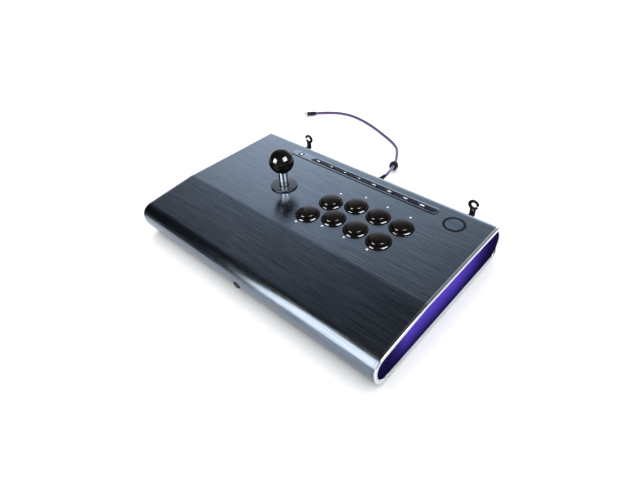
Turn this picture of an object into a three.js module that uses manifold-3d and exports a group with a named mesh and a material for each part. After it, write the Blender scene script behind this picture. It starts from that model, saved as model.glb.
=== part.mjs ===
// A tabletop arcade joystick panel: a wide aluminium case with a brushed top that slopes down at
// the front, a ball-top lever, eight snap-in push buttons and a bar of small function keys along
// the back edge. Millimetres, +X to the player's right, +Y to the rear, +Z up. The origin is on
// the resting surface, under the middle of the object.

import * as THREE from 'three';
import { mergeVertices } from 'three/addons/utils/BufferGeometryUtils.js';
import Module from 'manifold-3d';

const wasm = await Module();
wasm.setup();

// ---- Driving dimensions ----

const FIT = 0.3;                    // gap between fixed pieces that meet
const RUNNING_FIT = 0.5;            // gap round a piece that slides
const PAST = 1;                     // how far a cutting tool runs past what it cuts

// Case
const CASE_WIDTH = 412.4;
const CASE_HEIGHT = 54.6;
const WALL = 3;
const FLOOR = 5;
const NOSE_Y = -147.4;              // foremost point of the rounded front
const PALM_END_Y = -130.7;          // where the palm rest turns into the nose
const BEND_Y = -56.4;               // where the flat top starts to slope down
const PALM_SLOPE = THREE.MathUtils.degToRad(5.7);
const TOP_BACK_Y = 103.3;           // where the flat top turns into the rounded back
const REAR_Y = 123.7;               // rearmost point of the rounded back
const PAD_THICKNESS = 2;
const CASE_BOTTOM = PAD_THICKNESS + FIT;
const TOP = CASE_BOTTOM + CASE_HEIGHT;

// Ends of the case
const TRIM_LENGTH = 4;
const TRIM_WIDTH = 5.5;
const PANEL_RECESS = 3;
const PANEL_FACE = 1.6;
const PANEL_FLANGE = 2.2;

// Underside
const PLATE = { x: 350, y: 210, thickness: 2, corner: 10, centreY: -10 };
const SERVICE_OPENING = { x: 328, y: 188, corner: 8 };
const PAD = { x: 322, y: 182, corner: 12 };
const SCREW_INSET = { x: 10.5, y: 5.5 };

// Lever, from its pivot and its own axis; heights here count from the top of the panel
const LEVER_X = -73;
const LEVER_Y = 9.3;
const PIVOT = -20;
const BALL_RADIUS = 17.5;
const BALL_CENTRE = 40.2;
const SHAFT_RADIUS = 4.8;
const SHAFT_LOW_RADIUS = 4;
const SHAFT_END = -49.5;
const COVER_RADIUS = 6.5;
const WASHER_RADIUS = 19;
const WASHER_THICKNESS = 2;
const LEVER_HOLE_RADIUS = 12;
const LEVER_BODY = 62;              // side of the square housing, board and gate
const TILT = THREE.MathUtils.degToRad(8);

// Buttons
const RIM_RADIUS = 16.6;
const BUTTON_HOLE_RADIUS = 15;
const CAP_RADIUS = 12.6;
const BUTTON_PITCH = 36;
const SECOND_BUTTON = [40, 32.8];   // second button of the upper row
const FIRST_COLUMN_STEP = [-33, -13.8];
const LOWER_ROW_STEP = [-7, -38.6];

// Function bar
const BAR = { x: 263, y: 14.5, corner: 6, thickness: 3, proud: 0.3, centreY: 87.3 };
const HOME_KEY_X = -112.8;
const HOME_KEY_RADIUS = 4.6;
const KEY = { x: 16, y: 6.4, corner: 2.4, height: 2.9, proud: 0.6 };
const FIRST_KEY_X = -77;
const KEY_PITCH = 26.3;
const KEY_COUNT = 8;

// Sockets, cord and hooks
const JACK = { x: -6, z: TOP - 36.3, faceY: -146.3, radius: 4.3, bore: 1.85, length: 14 };
const SOCKET = { x: 13, z: 7, length: 19, height: TOP - 30 };
const PLUG_GRIP = { x: 12, z: 7.4, length: 18 };
const CORD_RADIUS = 2.25;
const CORD_EXIT_Y = 154;
const HOOK = { x: 153, z: TOP - 12, eye: 3.8, rim: 7.4, arm: 8, thickness: 3.6, drop: 14, hole: 1.9 };
const HOOK_BACK_Y = -NOSE_Y;

// ---- Geometry helpers ----

const X_AXIS = new THREE.Vector3(1, 0, 0);
const Y_AXIS = new THREE.Vector3(0, 1, 0);
const Z_AXIS = new THREE.Vector3(0, 0, 1);

// A closed geometry as a solid, with shared vertices merged and its faces pointing out.
function solidOf(geometry) {
  const bare = geometry.index ? geometry.toNonIndexed() : geometry.clone();
  bare.deleteAttribute('normal');
  bare.deleteAttribute('uv');
  const merged = mergeVertices(bare, 1e-4);
  const corners = Array.from(merged.index.array);
  const points = merged.attributes.position;
  const faces = [];
  let volume = 0;
  for (let i = 0; i < corners.length; i += 3) {
    const face = corners.slice(i, i + 3);
    if (new Set(face).size < 3) continue;
    faces.push(face);
    const [a, b, c] = face.map((k) => new THREE.Vector3().fromBufferAttribute(points, k));
    volume += a.dot(b.cross(c));
  }
  const outward = volume < 0 ? faces.map(([a, b, c]) => [a, c, b]) : faces;
  return new wasm.Manifold(new wasm.Mesh({
    numProp: 3,
    vertProperties: new Float32Array(points.array),
    triVerts: new Uint32Array(outward.flat()),
  }));
}

function geometryOf(solid) {
  const { vertProperties, triVerts } = solid.getMesh();
  const geometry = new THREE.BufferGeometry();
  geometry.setAttribute('position', new THREE.BufferAttribute(vertProperties, 3));
  geometry.setIndex(new THREE.BufferAttribute(triVerts, 1));
  geometry.computeVertexNormals();
  return geometry;
}

const join = (first, ...rest) => rest.reduce((all, solid) => all.add(solid), first);
const cut = (body, ...tools) => tools.reduce((left, tool) => left.subtract(tool), body);

// A box from its low corner to its high corner.
function box([x0, y0, z0], [x1, y1, z1]) {
  const geometry = new THREE.BoxGeometry(x1 - x0, y1 - y0, z1 - z0);
  geometry.translate((x0 + x1) / 2, (y0 + y1) / 2, (z0 + z1) / 2);
  return solidOf(geometry);
}

// A profile of [radius, height] points turned about +Z. It starts and ends on the axis or closes.
function turned(profile, segments = 20) {
  const points = profile.map(([r, z]) => new THREE.Vector2(r, z));
  return solidOf(new THREE.LatheGeometry(points, segments).rotateX(Math.PI / 2));
}

const cylinder = (radius, z0, z1, segments = 20) =>
  turned([[0, z0], [radius, z0], [radius, z1], [0, z1]], segments);

const tube = (inner, outer, z0, z1, segments = 20) =>
  turned([[inner, z0], [outer, z0], [outer, z1], [inner, z1], [inner, z0]], segments);

// A flat outline raised from z0 to z1.
function raised(shape, z0, z1, curveSegments = 2) {
  const options = { depth: z1 - z0, bevelEnabled: false, curveSegments };
  return solidOf(new THREE.ExtrudeGeometry(shape, options).translate(0, 0, z0));
}

function roundedRectangle(width, height, corner, centreX = 0, centreY = 0) {
  const [x, y] = [width / 2 - corner, height / 2 - corner];
  const shape = new THREE.Shape();
  [[x, y], [-x, y], [-x, -y], [x, -y]].forEach(([cx, cy], quarter) => {
    const start = quarter * Math.PI / 2;
    shape.absarc(centreX + cx, centreY + cy, corner, start, start + Math.PI / 2);
  });
  return shape;
}

// Turns what was made about +Z so that it runs along +Y instead.
const alongY = (solid) => solid.rotate([-90, 0, 0]);

// ---- The case's end outline, in (Y, Z) ----

const PALM_DROP = (BEND_Y - PALM_END_Y) * Math.tan(PALM_SLOPE);
const CURVE_STEPS = 7;

// Flat top, sloping palm rest, full round nose, flat bottom and round back, run anticlockwise.
function caseOutline() {
  const palmEnd = TOP - PALM_DROP;
  const outline = new THREE.Shape();
  outline.moveTo(TOP_BACK_Y, TOP);
  outline.lineTo(BEND_Y, TOP);
  outline.lineTo(PALM_END_Y, palmEnd);
  outline.bezierCurveTo(PALM_END_Y - 10, palmEnd - 1, NOSE_Y, TOP - 14.5, NOSE_Y, TOP - 25);
  outline.bezierCurveTo(NOSE_Y, TOP - 38, NOSE_Y + 7.7, CASE_BOTTOM, NOSE_Y + 21.7, CASE_BOTTOM);
  outline.lineTo(REAR_Y - 18.4, CASE_BOTTOM);
  outline.bezierCurveTo(REAR_Y - 7.4, CASE_BOTTOM, REAR_Y, TOP - 42, REAR_Y, TOP - 29);
  outline.bezierCurveTo(REAR_Y, TOP - 15, REAR_Y - 11.4, TOP, TOP_BACK_Y, TOP);
  return outline.getPoints(CURVE_STEPS).slice(0, -1);
}

// The end outline moved inwards by an even distance all round.
function insetOutline(inset) {
  const outline = caseOutline();
  return outline.map((point, i) => {
    const before = outline[(i + outline.length - 1) % outline.length];
    const after = outline[(i + 1) % outline.length];
    const [inA, inB] = [[before, point], [point, after]].map(([a, b]) =>
      new THREE.Vector2(a.y - b.y, b.x - a.x).normalize());
    const middle = inA.clone().add(inB).normalize();
    return point.clone().addScaledVector(middle, inset / middle.dot(inA));
  });
}

// The inset outline filled and run along X.
function slab(inset, x0, x1) {
  const shape = new THREE.Shape(insetOutline(inset));
  const geometry = new THREE.ExtrudeGeometry(shape, { depth: x1 - x0, bevelEnabled: false });
  const toEnd = new THREE.Matrix4().makeBasis(Y_AXIS, Z_AXIS, X_AXIS);
  return solidOf(geometry.applyMatrix4(toEnd).translate(x0, 0, 0));
}

// A ring round the end outline whose cross-section is a loop of [x, inset] points.
function endRing(section) {
  const rings = section.map(([x, inset]) =>
    insetOutline(inset).map((point) => new THREE.Vector3(x, point.x, point.y)));
  const around = rings[0].length;
  const positions = [];
  for (let i = 0; i < rings.length; i++) {
    const [ring, next] = [rings[i], rings[(i + 1) % rings.length]];
    for (let k = 0; k < around; k++) {
      const m = (k + 1) % around;
      positions.push(ring[k], ring[m], next[m], ring[k], next[m], next[k]);
    }
  }
  return solidOf(new THREE.BufferGeometry().setFromPoints(positions));
}

// ---- Scene ----

const panel = new THREE.Group();

// A MeshStandardMaterial from a colour, a roughness and a metalness.
const finish = (color, roughness, metalness = 0) =>
  new THREE.MeshStandardMaterial({ color, roughness, metalness });

const GUNMETAL = finish(0x5f6f7f, 0.38, 0.9);
const POLISHED = finish(0xe6e8ee, 0.12, 1);
const PURPLE = finish(0x3d2a86, 0.25, 0.1);
const GLOSS_BLACK = finish(0x0b0b0d, 0.08);
const SATIN_BLACK = finish(0x16171a, 0.45);
const CHROME = finish(0xd8dade, 0.06, 1);
const STEEL = finish(0x9a9da2, 0.35, 0.9);
const RUBBER = finish(0x1b1b1c, 0.85);
const WHITE_PLASTIC = finish(0xd9d9d4, 0.5);
const CIRCUIT = finish(0x1c4a2c, 0.55);
const WASHER_GREY = finish(0x3c434b, 0.4, 0.3);
const BRAID = finish(0x3b2263, 0.7);

function add(parent, name, solid, look, [x, y, z] = [0, 0, 0]) {
  const mesh = new THREE.Mesh(geometryOf(solid), look.clone());
  mesh.name = name;
  mesh.position.set(x, y, z);
  parent.add(mesh);
  return mesh;
}

function place(parent, x, y, z) {
  const group = new THREE.Group();
  group.position.set(x, y, z);
  parent.add(group);
  return group;
}

// ---- Button places ----

// Upper row first, left to right, then the lower row; the first column sits lower than the rest.
function buttonPlaces() {
  const [secondX, secondY] = SECOND_BUTTON;
  const upper = [0, 1, 2].map((k) => [secondX + k * BUTTON_PITCH, secondY]);
  upper.unshift([secondX + FIRST_COLUMN_STEP[0], secondY + FIRST_COLUMN_STEP[1]]);
  const lower = upper.map(([x, y]) => [x + LOWER_ROW_STEP[0], y + LOWER_ROW_STEP[1]]);
  return [...upper, ...lower];
}

const keyX = (index) => FIRST_KEY_X + index * KEY_PITCH;
const END_X = CASE_WIDTH / 2;

// The four places round the service opening's ledge where the underside plate is screwed on.
function screwPlaces() {
  const [x, y] = [PLATE.x / 2 - SCREW_INSET.x, PLATE.y / 2 - SCREW_INSET.y];
  return [[-1, -1], [1, -1], [-1, 1], [1, 1]].map(([right, back]) =>
    [right * x, PLATE.centreY + back * y]);
}

// ---- Case ----

const SCREW_RADIUS = 1.6;
const RABBET = PLATE.thickness + FIT;

function caseShell() {
  const halfLength = END_X - TRIM_LENGTH - FIT;
  const inside = slab(WALL, -END_X, END_X).intersect(
    box([-END_X, NOSE_Y, CASE_BOTTOM + FLOOR], [END_X, REAR_Y, TOP]));
  const openings = [
    cylinder(LEVER_HOLE_RADIUS, TOP - WALL - PAST, TOP + PAST, 24).translate([LEVER_X, LEVER_Y, 0]),
    raised(roundedRectangle(BAR.x + 2 * FIT, BAR.y + 2 * FIT, BAR.corner, 0, BAR.centreY),
      TOP - WALL - PAST, TOP + PAST),
    raised(roundedRectangle(PLATE.x + 2 * FIT, PLATE.y + 2 * FIT, PLATE.corner, 0, PLATE.centreY),
      CASE_BOTTOM - PAST, CASE_BOTTOM + RABBET),
    raised(roundedRectangle(SERVICE_OPENING.x, SERVICE_OPENING.y, SERVICE_OPENING.corner,
      0, PLATE.centreY), CASE_BOTTOM, CASE_BOTTOM + FLOOR + PAST),
    alongY(cylinder(JACK.radius + FIT, 0, 2 * WALL + 2 * PAST))
      .translate([JACK.x, NOSE_Y - PAST, JACK.z]),
    box([-SOCKET.x / 2 - FIT, REAR_Y - 2 * WALL, SOCKET.height - SOCKET.z / 2 - FIT],
      [SOCKET.x / 2 + FIT, REAR_Y + PAST, SOCKET.height + SOCKET.z / 2 + FIT]),
  ];
  for (const [x, y] of buttonPlaces()) {
    openings.push(cylinder(BUTTON_HOLE_RADIUS, TOP - WALL - PAST, TOP + PAST).translate([x, y, 0]));
  }
  for (const [x, y] of screwPlaces()) {
    openings.push(cylinder(SCREW_RADIUS + FIT, CASE_BOTTOM, CASE_BOTTOM + FLOOR + PAST, 12)
      .translate([x, y, 0]));
  }
  return cut(slab(0, -halfLength, halfLength), inside, ...openings);
}

function basePlate() {
  const plate = raised(roundedRectangle(PLATE.x, PLATE.y, PLATE.corner, 0, PLATE.centreY),
    CASE_BOTTOM, CASE_BOTTOM + PLATE.thickness);
  const holes = screwPlaces().map(([x, y]) =>
    cylinder(SCREW_RADIUS + FIT, CASE_BOTTOM - PAST, TOP, 12).translate([x, y, 0]));
  return cut(plate, ...holes);
}

// A pan-head screw, its head below the plate and its shank up through the case's ledge.
function baseScrew() {
  const head = cylinder(3, CASE_BOTTOM - 1.6, CASE_BOTTOM - 0.1, 12);
  return join(head, cylinder(SCREW_RADIUS, CASE_BOTTOM - 0.5, CASE_BOTTOM + FLOOR, 12));
}

// A polished frame with a bevel on its outer edge and a wider one down to the recess.
function edgeTrim() {
  const [back, front] = [END_X - TRIM_LENGTH, END_X];
  return endRing([
    [back, 0], [front - 1.2, 0], [front, 1.2], [front, TRIM_WIDTH - 1.5],
    [front - 1.5, TRIM_WIDTH], [back, TRIM_WIDTH],
  ]);
}

// A plug-shaped cover: a face inside the trim and a flange behind it, inside the case's wall.
function sidePanel() {
  const front = END_X - PANEL_RECESS;
  const step = END_X - TRIM_LENGTH - FIT;
  const flange = slab(WALL + FIT, step - PANEL_FLANGE, step).intersect(
    box([0, NOSE_Y, CASE_BOTTOM + FLOOR + FIT], [END_X, REAR_Y, TOP]));
  return join(slab(TRIM_WIDTH + FIT, front - PANEL_FACE, front), flange);
}

add(panel, 'case_shell', caseShell(), GUNMETAL);
add(panel, 'base_plate', basePlate(), STEEL);
add(panel, 'base_pad', raised(
  roundedRectangle(PAD.x, PAD.y, PAD.corner, 0, PLATE.centreY), 0, PAD_THICKNESS), RUBBER);
screwPlaces().forEach(([x, y], i) => add(panel, `base_screw_${i + 1}`, baseScrew(), STEEL, [x, y, 0]));
for (const [side, direction] of [['right', 1], ['left', -1]]) {
  add(panel, `${side}_edge_trim`, edgeTrim(), POLISHED).scale.x = direction;
  add(panel, `${side}_side_panel`, sidePanel(), PURPLE).scale.x = direction;
}

// ---- Function bar ----

const BOARD_TOP = -4.4;             // top of the function board, below the top of the panel
const keyOutline = (grow, x = 0) =>
  roundedRectangle(KEY.x + 2 * grow, KEY.y + 2 * grow, KEY.corner, x, 0);

function functionBar() {
  const bar = raised(roundedRectangle(BAR.x, BAR.y, BAR.corner), -BAR.thickness, BAR.proud);
  const holes = Array.from({ length: KEY_COUNT }, (_, k) =>
    raised(keyOutline(FIT, keyX(k)), -BAR.thickness - PAST, PAST, 1));
  const home = cylinder(HOME_KEY_RADIUS + FIT, -BAR.thickness - PAST, PAST, 20);
  return cut(bar, ...holes, home.translate([HOME_KEY_X, 0, 0]));
}

// A strip of circuit board with one small dome switch under each key.
function functionBoard() {
  const board = box([-BAR.x / 2 + 4, -8, BOARD_TOP - 1.6], [BAR.x / 2 - 4, 8, BOARD_TOP]);
  const places = [HOME_KEY_X, ...Array.from({ length: KEY_COUNT }, (_, k) => keyX(k))];
  const domes = places.map((x) => box([x - 2, -2, BOARD_TOP - 0.2], [x + 2, 2, BOARD_TOP + 1]));
  return join(board, ...domes);
}

const bar = place(panel, 0, BAR.centreY, TOP);
const KEY_BOTTOM = KEY.proud - KEY.height;
add(bar, 'function_bar', functionBar(), GLOSS_BLACK);
add(bar, 'function_board', functionBoard(), CIRCUIT);
add(bar, 'home_key', turned([
  [0, KEY_BOTTOM], [HOME_KEY_RADIUS, KEY_BOTTOM], [HOME_KEY_RADIUS, KEY.proud - 0.3],
  [HOME_KEY_RADIUS - 0.4, KEY.proud], [0, KEY.proud],
], 20), WHITE_PLASTIC, [HOME_KEY_X, 0, 0]);
for (let k = 0; k < KEY_COUNT; k++) {
  add(bar, `function_key_${k + 1}`, raised(keyOutline(0), KEY_BOTTOM, KEY.proud, 1),
    GLOSS_BLACK, [keyX(k), 0, 0]);
}

// ---- Lever ----

const BODY_TOP = -WALL - FIT;       // underside of the panel
const PLATE_BOTTOM = BODY_TOP - 2;
const HOUSING_TOP = PLATE_BOTTOM - FIT;
const HOUSING_BOTTOM = -30;
const SWITCH_BOARD_TOP = HOUSING_BOTTOM - FIT;
const SWITCH_BOTTOM = -41.8;
const GATE_TOP = -42.2;
const GATE_BOTTOM = -44.4;
const PIVOT_BALL_RADIUS = 10;
const ACTUATOR_RADIUS = 7;
const ACTUATOR_TOP = -34;

// How far the lever's axis moves sideways at a height, with both ways tilted to their limits.
const swing = (height) => Math.abs(height - PIVOT) * Math.tan(TILT) * Math.SQRT2;

const squareBox = (side, z0, z1) => box([-side / 2, -side / 2, z0], [side / 2, side / 2, z1]);

// A ball of plastic, flattened a little underneath and drilled for the shaft.
function ballTop() {
  const profile = [[0, BALL_CENTRE - BALL_RADIUS + 1]];
  const steps = 10;
  const flat = Math.acos(1 - 1 / BALL_RADIUS);
  for (let k = 0; k <= steps; k++) {
    const angle = flat + (Math.PI - flat) * k / steps;
    profile.push([BALL_RADIUS * Math.sin(angle), BALL_CENTRE - BALL_RADIUS * Math.cos(angle)]);
  }
  profile[profile.length - 1][0] = 0;
  return cut(turned(profile, 24), cylinder(SHAFT_RADIUS + FIT, 0, BALL_CENTRE - 1));
}

// Stepped rod: thick above the pivot, thinner below, with a groove for its retaining clip.
const leverShaft = () => turned([
  [0, SHAFT_END], [SHAFT_LOW_RADIUS, SHAFT_END], [SHAFT_LOW_RADIUS, -48.4], [3, -48.4],
  [3, -47.4], [SHAFT_LOW_RADIUS, -47.4], [SHAFT_LOW_RADIUS, -27], [SHAFT_RADIUS, -27],
  [SHAFT_RADIUS, BALL_CENTRE - 2], [0, BALL_CENTRE - 2],
]);

// The ball that carries the shaft, slotted so that the shaft can also tilt sideways in it.
function pivotBall() {
  const half = 6;
  const profile = [[0, PIVOT - half]];
  for (let k = -3; k <= 3; k++) {
    const z = half * k / 3;
    profile.push([Math.sqrt(PIVOT_BALL_RADIUS ** 2 - z * z), PIVOT + z]);
  }
  profile.push([0, PIVOT + half]);
  const slotRadius = SHAFT_RADIUS + RUNNING_FIT;
  const lean = half * Math.tan(TILT);
  const slot = roundedRectangle(2 * (slotRadius + lean), 2 * slotRadius, slotRadius - 0.01);
  return cut(turned(profile), raised(slot, PIVOT - half - PAST, PIVOT + half + PAST));
}

// A square moulding, open above and below a web that holds the pivot ball.
function leverHousing() {
  const [webTop, webBottom] = [PIVOT + 4, PIVOT - 4];
  const inner = LEVER_BODY - 6;
  return cut(squareBox(LEVER_BODY, HOUSING_BOTTOM, HOUSING_TOP),
    squareBox(inner, webTop, HOUSING_TOP - WALL),
    squareBox(inner, HOUSING_BOTTOM - PAST, webBottom),
    cylinder(14, webTop, HOUSING_TOP + PAST),
    cylinder(PIVOT_BALL_RADIUS + RUNNING_FIT, webBottom - PAST, webTop + PAST));
}

function mountingPlate() {
  const plate = raised(roundedRectangle(95, LEVER_BODY - 9, 4), PLATE_BOTTOM, BODY_TOP);
  return cut(plate, cylinder(14, PLATE_BOTTOM - PAST, BODY_TOP + PAST));
}

// One board that carries the four lever switches, one on each side of the actuator.
function switchBoard() {
  const bottom = SWITCH_BOARD_TOP - 1.6;
  const board = cut(squareBox(LEVER_BODY, bottom, SWITCH_BOARD_TOP),
    cylinder(14, bottom - PAST, SWITCH_BOARD_TOP + PAST));
  const near = ACTUATOR_RADIUS + swing(SWITCH_BOTTOM) / Math.SQRT2 + RUNNING_FIT;
  const body = box([near + 1.6, -10, SWITCH_BOTTOM], [near + 12, 10, bottom + 0.2]);
  const plunger = box([near, -2, SWITCH_BOTTOM + 2], [near + 2, 2, SWITCH_BOTTOM + 5]);
  const rim = box([near + 8, -10, bottom], [near + 12, 10, bottom + 0.5]);
  const bracket = join(body, plunger, rim);
  return join(board, ...[0, 90, 180, 270].map((turn) => bracket.rotate([0, 0, turn])));
}

// The square gate that stops the shaft, held off the board by a leg at each corner.
function restrictorGate() {
  const halfOpening = SHAFT_LOW_RADIUS + swing(GATE_BOTTOM) / Math.SQRT2 + FIT;
  const plate = cut(squareBox(LEVER_BODY, GATE_BOTTOM, GATE_TOP),
    squareBox(2 * halfOpening, GATE_BOTTOM - PAST, GATE_TOP + PAST));
  const legTop = SWITCH_BOARD_TOP - 1.6 - FIT;
  const [low, high] = [LEVER_BODY / 2 - 6, LEVER_BODY / 2];
  const leg = box([low, low, GATE_TOP - 0.2], [high, high, legTop]);
  return join(plate, ...[0, 90, 180, 270].map((turn) => leg.rotate([0, 0, turn])));
}

const actuator = () => turned([
  [SHAFT_LOW_RADIUS + FIT, -41.6], [ACTUATOR_RADIUS, -41.6], [ACTUATOR_RADIUS, ACTUATOR_TOP - 1.5],
  [9.4, ACTUATOR_TOP - 1.5], [9.4, ACTUATOR_TOP], [SHAFT_LOW_RADIUS + FIT, ACTUATOR_TOP],
  [SHAFT_LOW_RADIUS + FIT, -41.6],
]);

// The centring spring, a few open turns of wire round the shaft above the actuator.
function returnSpring() {
  const turns = 2.5;
  const [low, high] = [ACTUATOR_TOP + 1.1, -28];
  const coil = new THREE.Curve();
  coil.getPoint = (t) => new THREE.Vector3(
    6.6 * Math.cos(2 * Math.PI * turns * t), 6.6 * Math.sin(2 * Math.PI * turns * t),
    low + (high - low) * t);
  const wire = new THREE.Shape().absarc(0, 0, 0.7, 0, 2 * Math.PI);
  return solidOf(new THREE.ExtrudeGeometry(wire,
    { steps: 30, extrudePath: coil, bevelEnabled: false, curveSegments: 3 }));
}

function retainingClip() {
  const ring = tube(3.3, 6, -48.2, -47.6, 20);
  return cut(ring, box([0, -2.2, -50], [8, 2.2, -46]));
}

// The slotted disc under the panel that carries the dust washer from side to side.
function lowerDustWasher() {
  const [top, bottom] = [BODY_TOP - 0.4, BODY_TOP - 1.6];
  const height = (top + bottom) / 2;
  const hole = COVER_RADIUS + 1.3;
  const travel = swing(height) / Math.SQRT2;
  const slot = roundedRectangle(2 * hole, 2 * (hole + travel), hole - 0.01);
  return cut(cylinder(11, bottom, top), raised(slot, bottom - PAST, top + PAST));
}

function dustWasher() {
  const hole = COVER_RADIUS + 0.6;
  return turned([
    [hole, 0.15], [WASHER_RADIUS, 0.15], [WASHER_RADIUS, WASHER_THICKNESS - 0.4],
    [WASHER_RADIUS - 0.6, WASHER_THICKNESS], [hole, WASHER_THICKNESS], [hole, 0.15],
  ], 32);
}

const lever = place(panel, LEVER_X, LEVER_Y, TOP);
add(lever, 'ball_top', ballTop(), GLOSS_BLACK);
add(lever, 'shaft_cover', tube(SHAFT_RADIUS + FIT, COVER_RADIUS, -9,
  BALL_CENTRE - BALL_RADIUS + 1 - FIT), CHROME);
add(lever, 'lever_shaft', leverShaft(), STEEL);
add(lever, 'actuator', actuator(), WHITE_PLASTIC);
add(lever, 'return_spring', returnSpring(), STEEL);
add(lever, 'retaining_clip', retainingClip(), STEEL);
add(lever, 'pivot_ball', pivotBall(), WHITE_PLASTIC);
add(lever, 'dust_washer', dustWasher(), WASHER_GREY);
add(lever, 'lower_dust_washer', lowerDustWasher(), SATIN_BLACK);
add(lever, 'mounting_plate', mountingPlate(), STEEL);
add(lever, 'lever_housing', leverHousing(), SATIN_BLACK);
add(lever, 'switch_board', switchBoard(), CIRCUIT);
add(lever, 'restrictor_gate', restrictorGate(), SATIN_BLACK);

// ---- Buttons ----

const RIM_HEIGHT = 2.6;
const CAP_BORE = CAP_RADIUS + RUNNING_FIT;
const BARREL_RADIUS = BUTTON_HOLE_RADIUS - FIT;

// A flanged barrel with a deep bore for its cap, and the switch block under it.
function buttonHousing() {
  const body = turned([
    [0, -22], [BARREL_RADIUS, -22], [BARREL_RADIUS, 0.15], [RIM_RADIUS, 0.15],
    [RIM_RADIUS, RIM_HEIGHT - 1.4], [RIM_RADIUS - 0.8, RIM_HEIGHT - 0.3],
    [RIM_RADIUS - 1.8, RIM_HEIGHT], [CAP_BORE + 0.5, RIM_HEIGHT], [CAP_BORE, RIM_HEIGHT - 0.8],
    [CAP_BORE, -12], [0, -12],
  ]);
  return join(body, box([-6, -10, -31], [6, 10, -21.5]));
}

// The pressed part: a skirt and a gently domed top with a rounded edge.
const buttonCap = () => turned([
  [0, -6], [CAP_RADIUS, -6], [CAP_RADIUS, 3.6], [CAP_RADIUS - 0.5, 4.8], [CAP_RADIUS - 1.8, 5.7],
  [CAP_RADIUS - 6, 6.4], [0, 6.7],
]);

buttonPlaces().forEach(([x, y], i) => {
  const button = place(panel, x, y, TOP);
  add(button, `button_housing_${i + 1}`, buttonHousing(), GLOSS_BLACK);
  add(button, `button_cap_${i + 1}`, buttonCap(), GLOSS_BLACK);
});

// ---- Electronics ----

// The main board stands on four posts, with its larger chips and a shield can on top.
function mainBoard() {
  const floor = CASE_BOTTOM + PLATE.thickness + FIT;
  const [low, high] = [floor + 6, floor + 7.6];
  const board = box([0, -25, low], [120, 45, high]);
  const posts = [[5, -20], [115, -20], [5, 40], [115, 40]].map(([x, y]) =>
    cylinder(3, floor, low + 0.2, 12).translate([x, y, 0]));
  const chips = [[[30, -5], [52, 17]], [[70, 0], [84, 14]], [[96, -12], [108, 30]]].map(([a, b]) =>
    box([...a, high - 0.2], [...b, high + 2]));
  return join(board, ...posts, ...chips);
}

// A round socket through the nose, blind-drilled for a headset plug.
function headsetJack() {
  const { radius, bore, length } = JACK;
  const barrel = cut(cylinder(radius, 0, length), cylinder(bore, -PAST, length - 2, 16));
  return alongY(barrel);
}

// A block behind the rear wall with a flat pocket for the cord's plug.
function cordSocket() {
  const { x, z, length } = SOCKET;
  const block = box([-x / 2, REAR_Y - length, -z / 2], [x / 2, REAR_Y, z / 2]);
  return cut(block, box([-4.7, REAR_Y - 8, -1.8], [4.7, REAR_Y + PAST, 1.8]));
}

add(panel, 'main_board', mainBoard(), CIRCUIT);
add(panel, 'headset_jack', headsetJack(), SATIN_BLACK, [JACK.x, JACK.faceY, JACK.z]);
add(panel, 'cord_socket', cordSocket(), SATIN_BLACK, [0, 0, SOCKET.height]);

// ---- Rear hooks ----

// An arm out of the rounded back, and an upright stem with a small hole that ends in an open eye.
function rearHook() {
  const { x, z, eye, rim, arm, thickness, drop, hole } = HOOK;
  const front = HOOK_BACK_Y - thickness;
  const armTop = z - drop;
  const ring = alongY(tube(eye, rim, front, HOOK_BACK_Y, 20)).translate([x, 0, z]);
  const gap = box([0, front - PAST, -2], [rim + PAST, HOOK_BACK_Y + PAST, 2])
    .rotate([0, 15, 0]).translate([x, 0, z]);
  const stem = box([x - arm / 2, front, armTop - thickness], [x + arm / 2, HOOK_BACK_Y, z - eye - 0.4]);
  const stemHole = alongY(cylinder(hole, front - PAST, HOOK_BACK_Y + PAST, 16))
    .translate([x + 0.6, 0, (armTop + z - eye) / 2]);
  const bar = box([x - arm / 2, REAR_Y - 12, armTop - thickness], [x + arm / 2, HOOK_BACK_Y, armTop]);
  const foot = box([x - 8, REAR_Y - 12, armTop - 12], [x + 8, REAR_Y + 3, armTop + 4]);
  const hook = join(cut(ring, gap), cut(stem, stemHole), bar, foot);
  return cut(hook, slab(-FIT, 0, END_X));
}

for (const [side, direction] of [['right', 1], ['left', -1]]) {
  add(panel, `rear_hook_${side}`, rearHook(), SATIN_BLACK).scale.x = direction;
}

// ---- Cord ----

// The cord's middle line, from its plug at the back, down to the surface and round to its end.
const CORD_ROUTE = [
  [0, CORD_EXIT_Y, 26.9], [-0.3, 160, 26.6], [-2.5, 167, 25.2], [-7, 178, 21.5],
  [-14, 194, 15.6], [-21.5, 210, 9.6], [-28.5, 224, 5], [-35, 236.5, 2.8], [-41, 247, 2.3],
  [-47.5, 257.5, 2.3], [-56, 269, 2.3], [-70, 280, 2.3], [-88, 289.5, 2.3], [-109, 298.5, 2.3],
  [-130, 307, 2.3], [-152, 314.5, 2.3], [-178, 321, 2.3], [-205, 323.5, 2.3],
  [-229, 319, 2.3], [-247.5, 309, 2.4], [-259.5, 298, 3.1], [-267.5, 287.5, 4],
].map((point) => new THREE.Vector3(...point));
const CORD_STEPS = 44;
const cordLine = new THREE.CatmullRomCurve3(CORD_ROUTE);

function cordTube() {
  const section = new THREE.Shape().absarc(0, 0, CORD_RADIUS, 0, 2 * Math.PI);
  return solidOf(new THREE.ExtrudeGeometry(section,
    { steps: CORD_STEPS, extrudePath: cordLine, bevelEnabled: false, curveSegments: 4 }));
}

// Puts a piece made along +Z onto the cord's line, at a share of its length.
function onCord(mesh, share, point = cordLine.getPointAt(share)) {
  mesh.position.copy(point);
  mesh.quaternion.setFromUnitVectors(Z_AXIS, cordLine.getTangentAt(share));
}

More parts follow.
